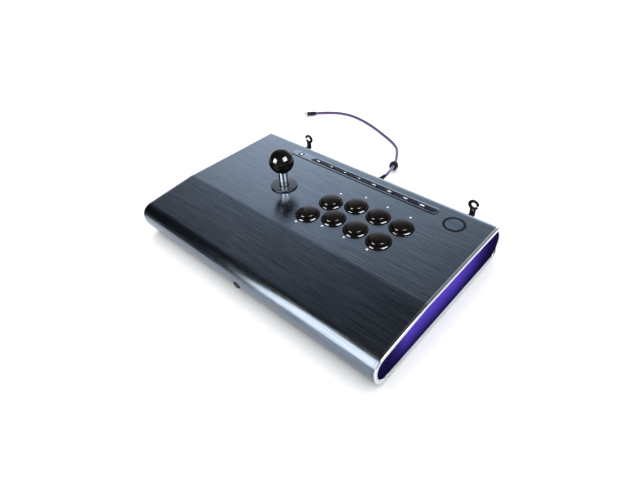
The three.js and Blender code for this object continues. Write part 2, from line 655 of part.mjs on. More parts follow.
// The moulded plug at the case: a flat tongue, a rounded grip and a tapering strain relief.
function cordPlug() {
  const { x, z, length } = PLUG_GRIP;
  const start = REAR_Y + FIT;
  const grip = raised(roundedRectangle(x, z, 3), start, start + length);
  const tongue = box([-4.2, -1.3, start - 6.5], [4.2, 1.3, start + PAST]);
  const relief = turned([
    [0, start + length - PAST], [3.5, start + length - PAST], [3.5, start + length],
    [3, CORD_EXIT_Y - FIT], [0, CORD_EXIT_Y - FIT],
  ], 16);
  return join(grip, tongue, relief);
}

// The slim plug on the cord's far end.
function endPlug() {
  const grip = turned([[0, 0], [2.8, 0], [3.7, 4], [3.7, 18], [3.2, 18.6], [0, 18.6]], 16);
  return join(grip, box([-3.4, -1.2, 18], [3.4, 1.2, 24.5]));
}

// A moulded tidy that is threaded on the cord.
const cordClip = () => turned([
  [CORD_RADIUS + FIT, -6], [5.5, -6], [7.4, -3.5], [7.4, 3.5], [5.5, 6], [CORD_RADIUS + FIT, 6],
  [CORD_RADIUS + FIT, -6],
], 16);

add(panel, 'cord', cordTube(), BRAID);
add(panel, 'cord_plug', alongY(cordPlug()), SATIN_BLACK, [0, 0, SOCKET.height]);
onCord(add(panel, 'cord_clip', cordClip(), SATIN_BLACK), 0.17);
const end = cordLine.getPointAt(1).addScaledVector(cordLine.getTangentAt(1), FIT);
onCord(add(panel, 'cord_end_plug', endPlug(), SATIN_BLACK), 1, end);

export default panel;
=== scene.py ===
"""Looks of a tabletop arcade joystick panel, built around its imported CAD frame.

Lengths are written in millimetres and turned into metres as each mesh is made. The frame has +X to the
player's right, +Y to the rear and +Z up, with the floor at z = 0.
"""

import math

import bmesh
import bpy
from mathutils import Euler, Matrix, Vector, geometry


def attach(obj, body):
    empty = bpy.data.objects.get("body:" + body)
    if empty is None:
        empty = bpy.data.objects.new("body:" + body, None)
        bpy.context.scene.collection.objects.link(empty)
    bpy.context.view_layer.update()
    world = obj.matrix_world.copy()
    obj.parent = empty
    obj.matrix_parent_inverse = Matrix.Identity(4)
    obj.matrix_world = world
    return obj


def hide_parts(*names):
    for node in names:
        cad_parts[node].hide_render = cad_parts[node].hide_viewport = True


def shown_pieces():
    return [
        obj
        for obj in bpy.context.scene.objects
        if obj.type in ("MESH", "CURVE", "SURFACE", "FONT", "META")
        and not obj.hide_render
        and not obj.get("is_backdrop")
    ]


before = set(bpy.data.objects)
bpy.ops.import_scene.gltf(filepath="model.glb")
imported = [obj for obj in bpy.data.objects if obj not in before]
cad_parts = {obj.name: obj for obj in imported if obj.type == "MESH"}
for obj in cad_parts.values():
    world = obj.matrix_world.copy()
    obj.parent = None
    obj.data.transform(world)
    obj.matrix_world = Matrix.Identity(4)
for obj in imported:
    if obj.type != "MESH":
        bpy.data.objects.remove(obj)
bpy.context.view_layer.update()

MM = 0.001

# ---- Sizes shared with the CAD model, in mm ----

TOP = 56.9
CASE_BOTTOM = 2.3
NOSE_Y, PALM_END_Y, BEND_Y = -147.4, -130.7, -56.4
TOP_BACK_Y, REAR_Y = 103.3, 123.7
PALM_SLOPE = math.tan(math.radians(5.7))
PALM_END_Z = TOP - (BEND_Y - PALM_END_Y) * PALM_SLOPE
BEND_REACH = 3.0
END_X = 206.2
CASE_END_X = 201.9
PANEL_FACE_X = 203.2
WALL = 3.0
FLOOR = 5.0

LEVER_X, LEVER_Y = -73.0, 9.3
BALL_RADIUS, BALL_Z = 17.5, TOP + 40.2
COVER_RADIUS = 6.5
WASHER_RADIUS = 19.0
LEVER_HOLE_RADIUS = 12.0

BUTTON_PITCH = 36.0
UPPER_ROW = [(7.0, 19.0)] + [(40.0 + k * BUTTON_PITCH, 32.8) for k in range(3)]
LOWER_ROW = [(x - 7.0, y - 38.6) for x, y in UPPER_ROW]
BUTTON_HOLE_RADIUS = 15.0
BARREL_RADIUS, BARREL_DEPTH = 14.7, 22.0
CAP_RADIUS, CAP_TOP, CROWN_RADIUS = 12.6, 6.7, 60.0

BAR_Y, BAR_LENGTH, BAR_WIDTH, BAR_CORNER = 87.3, 263.0, 14.5, 6.0
HOME_KEY_X, HOME_KEY_RADIUS = -112.8, 4.6
KEY_XS = [-77.0 + 26.3 * k for k in range(8)]
KEY_LENGTH, KEY_WIDTH, KEY_CORNER = 16.0, 6.4, 2.4
KEY_GAP = 0.6
KEY_BOTTOM = TOP - 2.3
INLAY_X, INLAY_Y = 159.5, 78.8

JACK_X, JACK_Z, JACK_FACE_Y = -6.0, TOP - 36.3, -146.3
JACK_HOLE_RADIUS, NOSE_TILT_AT_JACK = 4.5, 18.5
SOCKET_Z = TOP - 30.0
HOOK_X, HOOK_Z, HOOK_EYE = 153.0, TOP - 12.0, 3.8
HOOK_ARM, HOOK_THICKNESS, HOOK_DROP = 8.0, 3.6, 14.0

CORD_ROUTE = [
    (0, 154, 26.9), (-0.3, 160, 26.6), (-2.5, 167, 25.2), (-7, 178, 21.5), (-14, 194, 15.6),
    (-21.5, 210, 9.6), (-28.5, 224, 5), (-35, 236.5, 2.8), (-41, 247, 2.3), (-47.5, 257.5, 2.3),
    (-56, 269, 2.3), (-70, 280, 2.3), (-88, 289.5, 2.3), (-109, 298.5, 2.3), (-130, 307, 2.3),
    (-152, 314.5, 2.3), (-178, 321, 2.3), (-205, 323.5, 2.3), (-229, 319, 2.3),
    (-247.5, 309, 2.4), (-259.5, 298, 3.1), (-267.5, 287.5, 4),
]

# ---- Camera ----

camera_data = bpy.data.cameras.new("camera")
camera_data.sensor_width = 36.0
camera_data.lens = 26.474
camera = bpy.data.objects.new("camera", camera_data)
camera.location = (0.35563, -0.36271, 0.43492)
camera.rotation_euler = Euler([math.radians(a) for a in (49.2830, 3.0104, 41.8551)], "XYZ")
bpy.context.scene.collection.objects.link(camera)
bpy.context.scene.camera = camera

# ---- Mesh helpers ----


def clean_mesh(mesh, distance):
    """Joins points closer than a distance and turns every face outwards."""
    bm = bmesh.new()
    bm.from_mesh(mesh)
    bmesh.ops.remove_doubles(bm, verts=bm.verts, dist=distance)
    bmesh.ops.recalc_face_normals(bm, faces=bm.faces)
    bm.to_mesh(mesh)
    bm.free()


def build(name, points, faces, material, body="root", replaces=(), slot=None, sharp=32.0):
    """A piece from points in mm and faces, smooth but for edges sharper than an angle in degrees."""
    mesh = bpy.data.meshes.new(name)
    mesh.from_pydata([Vector(p) * MM for p in points], [], faces)
    return finish_piece(name, mesh, material, body, replaces, sharp)


def finish_piece(name, mesh, material, body="root", replaces=(), sharp=32.0):
    """Cleans a mesh in metres, makes its object, and puts that on its body."""
    clean_mesh(mesh, 1e-7)
    mesh.polygons.foreach_set("use_smooth", [True] * len(mesh.polygons))
    mesh.set_sharp_from_angle(angle=math.radians(sharp))
    piece = bpy.data.objects.new(name, mesh)
    bpy.context.scene.collection.objects.link(piece)
    mesh.materials.clear()
    mesh.materials.append(material)
    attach(piece, body)
    if replaces:
        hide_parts(*replaces)
    return piece


def arc(centre_a, centre_b, radius, start, end, steps):
    """Points of an arc in degrees, both ends included."""
    points = []
    for k in range(steps + 1):
        angle = math.radians(start + (end - start) * k / steps)
        points.append((centre_a + radius * math.cos(angle), centre_b + radius * math.sin(angle)))
    return points


def turned(profile, segments=64):
    """Points and faces of a profile of (radius, height) turned about Z."""
    points, faces, rings = [], [], []
    for radius, z in profile:
        if radius < 1e-6:
            rings.append([len(points)])
            points.append((0.0, 0.0, z))
            continue
        rings.append([len(points) + k for k in range(segments)])
        for k in range(segments):
            angle = 2 * math.pi * k / segments
            points.append((radius * math.cos(angle), radius * math.sin(angle), z))
    for low, high in zip(rings, rings[1:]):
        for k in range(segments):
            m = (k + 1) % segments
            corners = [low[k % len(low)], low[m % len(low)], high[m % len(high)], high[k % len(high)]]
            face = list(dict.fromkeys(corners))
            if len(face) > 2:
                faces.append(face)
    return points, faces


def moved(part, matrix):
    """A part, which is its points and faces, carried by a matrix."""
    points, faces = part
    return [tuple(matrix @ Vector(p)) for p in points], faces


def at(part, x, y, z):
    return moved(part, Matrix.Translation((x, y, z)))


def along_y(part):
    """Turns a part made along +Z so that it runs along +Y."""
    return moved(part, Matrix.Rotation(math.radians(-90), 4, "X"))


def merged(*parts):
    """Several parts as one."""
    points, faces = [], []
    for more_points, more_faces in parts:
        first = len(points)
        points += more_points
        faces += [[first + k for k in face] for face in more_faces]
    return points, faces


def rounded_rectangle(length, width, corner, steps=8):
    """An anticlockwise outline about the origin, with round corners."""
    x, y = length / 2 - corner, width / 2 - corner
    outline = []
    for quarter, (cx, cy) in enumerate([(x, y), (-x, y), (-x, -y), (x, -y)]):
        outline += arc(cx, cy, corner, 90 * quarter, 90 * quarter + 90, steps)
    return outline


def stacked(outlines):
    """A closed part through rings of equally many (x, y, z) points, capped at both ends."""
    count = len(outlines[0])
    points = [p for ring in outlines for p in ring]
    faces = []
    for level in range(len(outlines) - 1):
        for k in range(count):
            m = (k + 1) % count
            low, high = level * count, (level + 1) * count
            faces.append([low + k, low + m, high + m, high + k])
    faces.append(list(range(count))[::-1])
    faces.append([len(points) - count + k for k in range(count)])
    return points, faces


def plate(outline, z0, z1, edge=0.0, steps=3):
    """An (x, y) outline raised from z0 to z1, its upper edge rounded over by a radius."""
    rings = [[(x, y, z0) for x, y in outline]]
    if edge == 0:
        rings.append([(x, y, z1) for x, y in outline])
        return stacked(rings)
    normals = outline_normals(outline)
    for k in range(steps + 1):
        turn = math.radians(90 * k / steps)
        inset, z = edge * (1 - math.cos(turn)), z1 - edge * (1 - math.sin(turn))
        rings.append([(x - nx * inset, y - ny * inset, z) for (x, y), (nx, ny) in zip(outline, normals)])
    return stacked(rings)


def outline_normals(outline):
    """Outward unit directions at the points of an outline that runs anticlockwise, mitred at corners."""
    normals = []
    for k, point in enumerate(outline):
        before, after = Vector(outline[k - 1]), Vector(outline[(k + 1) % len(outline)])
        sides = []
        for a, b in ((before, Vector(point)), (Vector(point), after)):
            step = b - a
            if step.length > 1e-6:
                sides.append(Vector((step.y, -step.x)).normalized())
        middle = sum(sides, Vector((0, 0))).normalized()
        normals.append(tuple(middle / max(0.4, middle.dot(sides[0]))))
    return normals


def mesh_of(part):
    """A mesh in metres, cleaned for a boolean, from a part in mm."""
    points, faces = part
    mesh = bpy.data.meshes.new("part")
    mesh.from_pydata([Vector(p) * MM for p in points], [], faces)
    clean_mesh(mesh, 1e-8)
    return mesh


def boolean(piece_mesh, tools, operation="DIFFERENCE"):
    """The mesh left after cutting, or joining, closed parts in mm with exact booleans."""
    body = bpy.data.objects.new("boolean_body", piece_mesh)
    bpy.context.scene.collection.objects.link(body)
    helpers = [body]
    for k, part in enumerate(tools):
        tool = bpy.data.objects.new(f"tool_{k}", mesh_of(part))
        bpy.context.scene.collection.objects.link(tool)
        helpers.append(tool)
        modifier = body.modifiers.new(f"cut_{k}", "BOOLEAN")
        modifier.operation = operation
        modifier.solver = "EXACT"
        modifier.object = tool
    bpy.context.view_layer.update()
    evaluated = body.evaluated_get(bpy.context.evaluated_depsgraph_get())
    result = bpy.data.meshes.new_from_object(evaluated)
    for helper in helpers:
        bpy.data.objects.remove(helper)
    return result


def even_normals(piece):
    """Weights each corner's normal by its faces' areas, so that flat faces stay flat beside curves."""
    modifier = piece.modifiers.new("even_normals", "WEIGHTED_NORMAL")
    modifier.keep_sharp = True
    modifier.weight = 100


# ---- Materials ----

STREAKS_ALONG_X = (22.0, 1100.0, 1100.0)


class Finish:
    """A procedural material: one Principled shader, with noise on its colour, roughness and bump."""

    def __init__(self, name, **sockets):
        self.material = bpy.data.materials.new(name)
        self.material.use_nodes = True
        self.nodes = self.material.node_tree.nodes
        self.links = self.material.node_tree.links
        self.shader = self.nodes["Principled BSDF"]
        for socket, value in sockets.items():
            self.shader.inputs[socket.replace("_", " ")].default_value = value
        self.place = self.nodes.new("ShaderNodeTexCoord").outputs["Object"]

    def noise(self, scale, detail=3.0):
        """Noise over the piece's own place, scaled by one number or by three."""
        source = self.place
        if not isinstance(scale, (int, float)):
            mapping = self.nodes.new("ShaderNodeMapping")
            mapping.inputs["Scale"].default_value = scale
            self.links.new(source, mapping.inputs["Vector"])
            source, scale = mapping.outputs["Vector"], 1.0
        node = self.nodes.new("ShaderNodeTexNoise")
        node.inputs["Scale"].default_value = scale
        node.inputs["Detail"].default_value = detail
        node.inputs["Roughness"].default_value = 0.55
        self.links.new(source, node.inputs["Vector"])
        return node.outputs["Fac"]

    def ramp(self, factor, stops):
        """A colour ramp of (position, colour) stops."""
        node = self.nodes.new("ShaderNodeValToRGB")
        elements = node.color_ramp.elements
        while len(elements) < len(stops):
            elements.new(0.5)
        for element, (position, colour) in zip(elements, stops):
            element.position = position
            element.color = (*colour, 1.0)
        self.links.new(factor, node.inputs["Fac"])
        return node.outputs["Color"]

    def spread(self, factor, low, high, from_low=0.3, from_high=0.7):
        """A value carried from one range to another."""
        node = self.nodes.new("ShaderNodeMapRange")
        node.inputs["From Min"].default_value = from_low
        node.inputs["From Max"].default_value = from_high
        node.inputs["To Min"].default_value = low
        node.inputs["To Max"].default_value = high
        self.links.new(factor, node.inputs["Value"])
        return node.outputs["Result"]

    def math(self, operation, a, b=0.0):
        """One Math node, on numbers or on other nodes' outputs."""
        node = self.nodes.new("ShaderNodeMath")
        node.operation = operation
        for socket, value in zip(node.inputs, (a, b)):
            if isinstance(value, (int, float)):
                socket.default_value = value
            else:
                self.links.new(value, socket)
        return node.outputs["Value"]

    def colour(self, output):
        self.links.new(output, self.shader.inputs["Base Color"])

    def roughness(self, output):
        self.links.new(output, self.shader.inputs["Roughness"])

    def bump(self, height, distance_mm, strength=1.0):
        node = self.nodes.new("ShaderNodeBump")
        node.inputs["Strength"].default_value = strength
        node.inputs["Distance"].default_value = distance_mm * MM
        self.links.new(height, node.inputs["Height"])
        self.links.new(node.outputs["Normal"], self.shader.inputs["Normal"])


def moulded(name, dark, light, rough, grain=900.0, grain_mm=0.012, **sockets):
    """Moulded plastic, rubber or cast parts: slightly mottled colour, uneven gloss and a fine grain."""
    finish = Finish(name, **sockets)
    mottle = finish.noise(60.0)
    finish.colour(finish.ramp(mottle, [(0.3, dark), (0.7, light)]))
    finish.roughness(finish.spread(finish.noise(180.0), rough[0], rough[1]))
    finish.bump(finish.noise(grain, 2.0), grain_mm)
    return finish.material


def brushed(name, dark, light, rough, direction=STREAKS_ALONG_X, streak_mm=0.01, **sockets):
    """Metal with long fine scratches in one direction, which also streak its reflections."""
    finish = Finish(name, Metallic=1.0, **sockets)
    wide = finish.noise(tuple(s * 0.7 for s in direction), 2.0)
    fine = finish.noise(tuple(s * 2.2 for s in direction), 3.0)
    both = finish.math("ADD", finish.math("MULTIPLY", wide, 0.5), finish.math("MULTIPLY", fine, 0.5))
    finish.colour(finish.ramp(both, [(0.36, dark), (0.64, light)]))
    finish.roughness(finish.spread(both, rough[0], rough[1], 0.35, 0.65))
    finish.bump(both, streak_mm, 0.6)
    return finish


def case_finish():
    """Gunmetal brushed along X, so that its reflections spread across the scratches."""
    dark, light = (0.092, 0.116, 0.152), (0.166, 0.200, 0.250)
    finish = brushed("case_brushed", dark, light, (0.16, 0.26), streak_mm=0.005)
    finish.shader.inputs["Anisotropic"].default_value = 0.7
    finish.shader.inputs["Anisotropic Rotation"].default_value = 0.25
    along = finish.nodes.new("ShaderNodeCombineXYZ")
    along.inputs["X"].default_value = 1.0
    finish.links.new(along.outputs["Vector"], finish.shader.inputs["Tangent"])
    return finish.material


CASE_METAL = case_finish()
TRIM_METAL = brushed(
    "trim_polished", (0.64, 0.65, 0.68), (0.76, 0.77, 0.80), (0.10, 0.17), (500.0, 30.0, 500.0), 0.002
).material
CHROME = brushed(
    "chrome", (0.80, 0.81, 0.83), (0.88, 0.89, 0.90), (0.03, 0.07), (60.0, 60.0, 700.0), 0.0006
).material
STEEL = brushed(
    "steel_zinc", (0.42, 0.43, 0.44), (0.58, 0.59, 0.60), (0.26, 0.38), (260.0, 60.0, 260.0), 0.004
).material


# (share of the panel's depth from front to back, how light the painted shade leaves the purple there)
PANEL_PAINTED_SHADE = [(0.04, 0.06), (0.10, 0.3), (0.16, 0.92), (0.55, 1.0), (0.71, 0.58), (0.80, 0.22), (0.88, 0.05)]


def purple_finish():
    """Satin purple with painted shade: darker towards the ends and the lower edge of the panel."""
    finish = Finish("side_panel_purple", Specular_IOR_Level=0.0)
    split = finish.nodes.new("ShaderNodeSeparateXYZ")
    finish.links.new(finish.place, split.inputs["Vector"])
    along = finish.spread(split.outputs["Y"], 0.0, 1.0, -0.13, 0.13)
    # painted shade: the purple darkens towards the panel's front and rear ends
    ends = finish.ramp(along, [(place, (level, level, level)) for place, level in PANEL_PAINTED_SHADE])
    # painted shade: the purple darkens towards the panel's lower edge
    foot = finish.spread(split.outputs["Z"], 0.14, 1.0, 0.008, 0.038)
    painted_lightness = finish.math("MULTIPLY", ends, foot)
    mottle = finish.spread(finish.noise(150.0), 0.9, 1.1)
    shade = finish.math("MULTIPLY", painted_lightness, mottle)
    finish.colour(finish.ramp(shade, [(0.0, (0.006, 0.004, 0.03)), (1.0, (0.085, 0.050, 0.46))]))
    finish.roughness(finish.spread(finish.noise(220.0), 0.3, 0.4))
    finish.bump(finish.noise(1400.0), 0.003)
    return finish.material


PURPLE = purple_finish()
GLOSS = moulded(
    "gloss_black", (0.0035, 0.0032, 0.0036), (0.006, 0.0055, 0.0055), (0.035, 0.075), 500.0, 0.0006,
    IOR=1.46, Specular_IOR_Level=0.14,
)
CAP = moulded(
    "cap_black", (0.0045, 0.0032, 0.0028), (0.0070, 0.0050, 0.0042), (0.07, 0.12), 700.0, 0.0012,
    IOR=1.46, Specular_IOR_Level=0.12,
)
INK = moulded(
    "black_inlay", (0.002, 0.002, 0.003), (0.004, 0.004, 0.005), (0.3, 0.4), 700.0, 0.002,
    Specular_IOR_Level=0.08,
)
SATIN = moulded(
    "satin_black", (0.005, 0.005, 0.006), (0.010, 0.010, 0.012), (0.36, 0.50), 1100.0, 0.012,
    Specular_IOR_Level=0.2,
)
RUBBER = moulded("pad_rubber", (0.012, 0.012, 0.013), (0.024, 0.024, 0.025), (0.7, 0.9), 700.0, 0.05)
WHITE_PLASTIC = moulded("white_plastic", (0.62, 0.62, 0.60), (0.74, 0.74, 0.72), (0.35, 0.5))
CIRCUIT = moulded("circuit_board", (0.008, 0.045, 0.016), (0.016, 0.085, 0.032), (0.3, 0.5), 400.0, 0.03)
WASHER = moulded(
    "washer_grey", (0.055, 0.063, 0.085), (0.085, 0.097, 0.125), (0.24, 0.34), 900.0, 0.004, Metallic=1.0
)
MARK = moulded("printed_mark", (0.42, 0.45, 0.53), (0.54, 0.57, 0.65), (0.35, 0.5), 900.0, 0.003)
BAR_METAL = moulded(
    "bar_polished", (0.150, 0.178, 0.222), (0.190, 0.224, 0.275), (0.05, 0.10), 500.0, 0.0006, Metallic=1.0
)
KEY_GLOSS = moulded(
    "key_black", (0.006, 0.007, 0.014), (0.012, 0.013, 0.024), (0.10, 0.18), 700.0, 0.001,
    IOR=1.5, Specular_IOR_Level=0.07,
)


def braid_finish():
    """Braided sleeve: crossed strands set by the tube's own UV, which counts strands round and along it."""
    finish = Finish("purple_braid", Sheen_Weight=0.25, Sheen_Roughness=0.4)
    uv = finish.nodes.new("ShaderNodeUVMap")
    uv.uv_map = "strands"
    split = finish.nodes.new("ShaderNodeSeparateXYZ")
    finish.links.new(uv.outputs["UV"], split.inputs["Vector"])
    waves = []
    for sign in (1.0, -1.0):
        slant = finish.math("ADD", split.outputs["X"], finish.math("MULTIPLY", split.outputs["Y"], sign))
        wave = finish.math("SINE", finish.math("MULTIPLY", slant, math.pi))
        waves.append(finish.math("ABSOLUTE", wave))
    weave = finish.math("MULTIPLY", waves[0], waves[1])
    mottle = finish.noise(900.0)
    both = finish.math("ADD", finish.math("MULTIPLY", weave, 0.7), finish.math("MULTIPLY", mottle, 0.3))
    finish.colour(finish.ramp(both, [(0.1, (0.018, 0.008, 0.042)), (0.75, (0.110, 0.046, 0.22))]))
    finish.roughness(finish.spread(both, 0.62, 0.42, 0.1, 0.8))
    finish.bump(both, 0.12)
    return finish.material


BRAID = braid_finish()

# ---- Cord ----


def catmull_rom(points, per_span):
    """Points along a centripetal Catmull-Rom curve through the given ones."""
    knots = [Vector(p) for p in points]
    knots = [2 * knots[0] - knots[1]] + knots + [2 * knots[-1] - knots[-2]]
    line = []
    for p0, p1, p2, p3 in zip(knots, knots[1:], knots[2:], knots[3:]):
        t0 = 0.0
        t1 = t0 + math.sqrt((p1 - p0).length)
        t2 = t1 + math.sqrt((p2 - p1).length)
        t3 = t2 + math.sqrt((p3 - p2).length)
        for k in range(per_span):
            t = t1 + (t2 - t1) * k / per_span
            a1 = p0.lerp(p1, (t - t0) / (t1 - t0))
            a2 = p1.lerp(p2, (t - t1) / (t2 - t1))
            a3 = p2.lerp(p3, (t - t2) / (t3 - t2))
            b1 = a1.lerp(a2, (t - t0) / (t2 - t0))
            b2 = a2.lerp(a3, (t - t1) / (t3 - t1))
            line.append(b1.lerp(b2, (t - t1) / (t2 - t1)))
    line.append(knots[-2])
    return line


def evenly(line, step):
    """The same line with points a fixed step apart, both ends kept."""
    lengths = [0.0]
    for a, b in zip(line, line[1:]):
        lengths.append(lengths[-1] + (b - a).length)
    count = max(2, round(lengths[-1] / step))
    even, span = [], 0
    for k in range(count + 1):
        target = lengths[-1] * k / count
        while span < len(line) - 2 and lengths[span + 1] < target:
            span += 1
        width = max(1e-9, lengths[span + 1] - lengths[span])
        even.append(line[span].lerp(line[span + 1], min(1.0, (target - lengths[span]) / width)))
    return even


def line_frames(line):
    """Unit tangent and two carried-along normals at each point of a line."""
    frames, side = [], Vector((1, 0, 0))
    for k in range(len(line)):
        tangent = (line[min(k + 1, len(line) - 1)] - line[max(k - 1, 0)]).normalized()
        side = (side - tangent * side.dot(tangent)).normalized()
        frames.append((tangent, side, tangent.cross(side)))
    return frames


CORD_STEP = 0.8
CORD_LINE = evenly(catmull_rom(CORD_ROUTE, 24), CORD_STEP)
CORD_FRAMES = line_frames(CORD_LINE)
STRANDS_ROUND, STRAND_PITCH = 8, 1.9
BRAID_RADIUS, STRAND_HEIGHT = 2.16, 0.09


def make_cord():
    """A braided tube whose strands also stand out of its surface."""
    sides = 32
    points, faces = [], []
    for index, (centre, (_, side, up)) in enumerate(zip(CORD_LINE, CORD_FRAMES)):
        pitch = index * CORD_STEP / STRAND_PITCH
        for k in range(sides):
            share = k / sides * STRANDS_ROUND
            weave = abs(math.sin(math.pi * (share + pitch))) * abs(math.sin(math.pi * (share - pitch)))
            radius = BRAID_RADIUS + STRAND_HEIGHT * weave
            angle = 2 * math.pi * k / sides
            points.append(centre + radius * (side * math.cos(angle) + up * math.sin(angle)))
    rings = len(CORD_LINE)
    for ring in range(rings - 1):
        for k in range(sides):
            m = (k + 1) % sides
            faces.append([ring * sides + k, ring * sides + m, (ring + 1) * sides + m, (ring + 1) * sides + k])
    faces.append(list(range(sides))[::-1])
    faces.append([(rings - 1) * sides + k for k in range(sides)])
    mesh = bpy.data.meshes.new("cord_braid")
    mesh.from_pydata([p * MM for p in points], [], faces)
    strands = mesh.uv_layers.new(name="strands")
    for polygon in mesh.polygons:
        for loop in polygon.loop_indices:
            ring, k = divmod(mesh.loops[loop].vertex_index, sides)
            if k == 0 and polygon.index % sides == sides - 1:
                k = sides
            strands.data[loop].uv = (k / sides * STRANDS_ROUND, ring * CORD_STEP / STRAND_PITCH)
    return finish_piece("cord_braid", mesh, BRAID, "root", ["cord"], 60.0)


def on_cord(part, index):
    """Puts a part made along +Z onto the cord's line at a point."""
    tangent = CORD_FRAMES[index][0]
    turn = Vector((0, 0, 1)).rotation_difference(tangent).to_matrix().to_4x4()
    return moved(part, Matrix.Translation(CORD_LINE[index]) @ turn)


def make_cord_plug():
    """The plug at the case: rounded grip, ribbed taper round the cord, and a flat tongue in the socket."""
    z0, z1 = REAR_Y + 0.3, REAR_Y + 18.3
    levels = [(z0, 0.9), (z0 + 0.5, 0.25), (z0 + 1.4, 0.0), (z1 - 3.0, 0.0), (z1 - 1.0, 0.5), (z1, 1.4)]
    grip_rings = []
    for z, inset in levels:
        outline = rounded_rectangle(12 - 2 * inset, 7.4 - 2 * inset, 3.0 - inset * 0.6)
        grip_rings.append([(x, y, z) for x, y in outline])
    grip = stacked(grip_rings)
    profile = [(0.0, z1 - 0.6), (3.6, z1 - 0.6)]
    ribs = 5
    for k in range(ribs):
        z, radius = z1 + 0.4 + k * 2.1, 3.55 - 0.16 * k
        profile += [(radius - 0.55, z), (radius, z + 0.35), (radius, z + 1.2), (radius - 0.55, z + 1.55)]
    profile += [(2.75, 153.7), (0.0, 153.7)]
    tongue = plate(rounded_rectangle(8.4, 2.6, 1.2, 5), REAR_Y - 6.0, REAR_Y + 1.2)
    part = along_y(merged(grip, turned(profile, 40), tongue))
    return build("cord_plug_boot", *at(part, 0, 0, SOCKET_Z), SATIN, "root", ["cord_plug"], "satin_black")


def make_cord_tidy():
    """The moulded tidy threaded on the cord: a waisted bead with a rim at each end."""
    profile = [(2.45, -6.0)] + arc(4.3, -4.6, 1.4, -90, 0, 6) + [(5.9, -3.7)]
    profile += arc(6.0, -2.3, 1.4, -90, 60, 8) + [(6.3, 0.0)] + arc(6.0, 2.3, 1.4, -60, 90, 8)
    profile += [(5.9, 3.7)] + arc(4.3, 4.6, 1.4, 0, 90, 6) + [(2.45, 6.0), (2.45, -6.0)]
    index = round(0.17 * (len(CORD_LINE) - 1))
    bead = on_cord(turned(profile, 48), index)
    return build("cord_tidy", *bead, SATIN, "root", ["cord_clip"], "satin_black")


def make_end_plug():
    """The slim plug on the far end: a tapered grip with grooves, and its metal tongue."""
    profile = [(0.0, 0.3), (2.6, 0.3), (2.9, 0.9), (3.65, 4.4)]
    for k in range(4):
        z = 6.0 + 2.4 * k
        profile += [(3.65, z), (3.3, z + 0.3), (3.3, z + 0.8), (3.65, z + 1.1)]
    profile += [(3.65, 17.8)] + arc(3.05, 18.2, 0.6, 0, 90, 4)[1:] + [(0.0, 18.8)]
    grip = build(
        "cord_end_grip", *on_cord(turned(profile, 40), -1), SATIN, "root", ["cord_end_plug"], "satin_black"
    )
    shell = plate(rounded_rectangle(6.8, 2.4, 1.15, 6), 18.7, 24.7, 0.25)
    tip = build("cord_end_tip", *on_cord(shell, -1), STEEL, "root", (), "steel")
    return grip, tip


cord = make_cord()
cord_plug = make_cord_plug()
cord_tidy = make_cord_tidy()
end_grip, end_tip = make_end_plug()

# ---- Case ----


def bezier_points(a, b, c, d, steps):
    """Points of a Bezier curve, both ends included."""
    line = geometry.interpolate_bezier(*[Vector((*p, 0)) for p in (a, b, c, d)], steps + 1)
    return [(p.x, p.y) for p in line]


def end_outline(steps=20):
    """The case's end outline in (Y, Z): flat top, palm rest, round nose, flat bottom, round back."""
    outline = [(TOP_BACK_Y, TOP), (BEND_Y + BEND_REACH, TOP)]
    drop = BEND_REACH * PALM_SLOPE
    outline += bezier_points(
        (BEND_Y + BEND_REACH, TOP), (BEND_Y + BEND_REACH / 3, TOP),
        (BEND_Y - BEND_REACH / 3, TOP - drop / 3), (BEND_Y - BEND_REACH, TOP - drop), 4
    )[1:]
    outline += bezier_points(
        (PALM_END_Y, PALM_END_Z), (PALM_END_Y - 10, PALM_END_Z - 1),
        (NOSE_Y, TOP - 14.5), (NOSE_Y, TOP - 25), steps
    )
    outline += bezier_points(
        (NOSE_Y, TOP - 25), (NOSE_Y, TOP - 38),
        (NOSE_Y + 7.7, CASE_BOTTOM), (NOSE_Y + 21.7, CASE_BOTTOM), steps
    )[1:]
    outline += bezier_points(
        (REAR_Y - 18.4, CASE_BOTTOM), (REAR_Y - 7.4, CASE_BOTTOM),
        (REAR_Y, TOP - 42), (REAR_Y, TOP - 29), steps
    )
    outline += bezier_points(
        (REAR_Y, TOP - 29), (REAR_Y, TOP - 15), (REAR_Y - 11.4, TOP), (TOP_BACK_Y, TOP), steps
    )[1:-1]
    return outline


OUTLINE = end_outline()
OUTLINE_NORMALS = outline_normals(OUTLINE)


def inset_ring(inset, x, lowest=None):
    """The end outline moved inwards, as (x, y, z) points at one x, kept above a height if one is given."""
    ring = []
    for (y, z), (ny, nz) in zip(OUTLINE, OUTLINE_NORMALS):
        height = z - nz * inset
        ring.append((x, y - ny * inset, height if lowest is None else max(height, lowest)))
    return ring


def bore(radius, x, y, z0, z1):
    """An upright round cutter."""
    return at(turned([(0, z0), (radius, z0), (radius, z1), (0, z1)], 48), x, y, 0)


